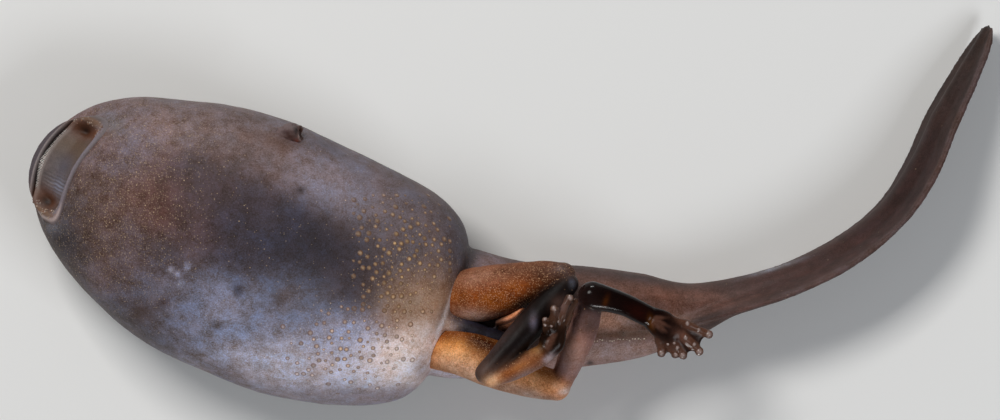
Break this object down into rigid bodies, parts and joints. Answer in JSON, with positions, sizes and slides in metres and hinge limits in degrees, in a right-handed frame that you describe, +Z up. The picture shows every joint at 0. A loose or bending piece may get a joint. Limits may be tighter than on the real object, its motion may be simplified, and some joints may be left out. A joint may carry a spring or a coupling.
{
  "type": "preserved frog tadpole",
  "caption": "Late-stage tadpole lying on its back, with an oval body, a sucker-like mouth, folded hind legs and a long finned tail curving to one side.",
  "frame": {"origin": "on the floor, under the middle of the animal's bounding box", "axes": "+X from the head towards the tail, +Y towards the side the tail curves to, +Z up, out of the belly"},
  "size_m": [0.0844, 0.0332, 0.017],
  "materials": {
    "belly_skin": "moist grey-brown mauve skin with fine cream specks",
    "lip_skin": "wet grey-lilac lips round a brown bowl",
    "leg_skin": "moist orange-brown skin with pale specks",
    "foot_skin": "wet, very dark brown skin",
    "tail_skin": "moist red-brown skin with fine stipple",
    "fin_membrane": "thin moist membrane, paler at its edge",
    "eye": "glossy black with a fine gold ring",
    "tube_skin": "thin dark skin"
  },
  "bodies": {
    "root": {"head": "belly_skin", "trunk": "belly_skin", "oral_disc": "lip_skin", "eye_left": "eye", "eye_right": "eye", "spiracle": "tube_skin", "vent_tube": "tube_skin", "tail_base": "tail_skin", "tail_middle": "tail_skin", "tail_end": "tail_skin", "ventral_fin": "fin_membrane", "dorsal_fin": "fin_membrane", "thigh_left": "leg_skin", "shank_left": "leg_skin", "tarsus_left": "foot_skin", "foot_left": "foot_skin", "thigh_right": "leg_skin", "shank_right": "leg_skin", "tarsus_right": "foot_skin", "foot_right": "foot_skin"}
  },
  "joints": []
}
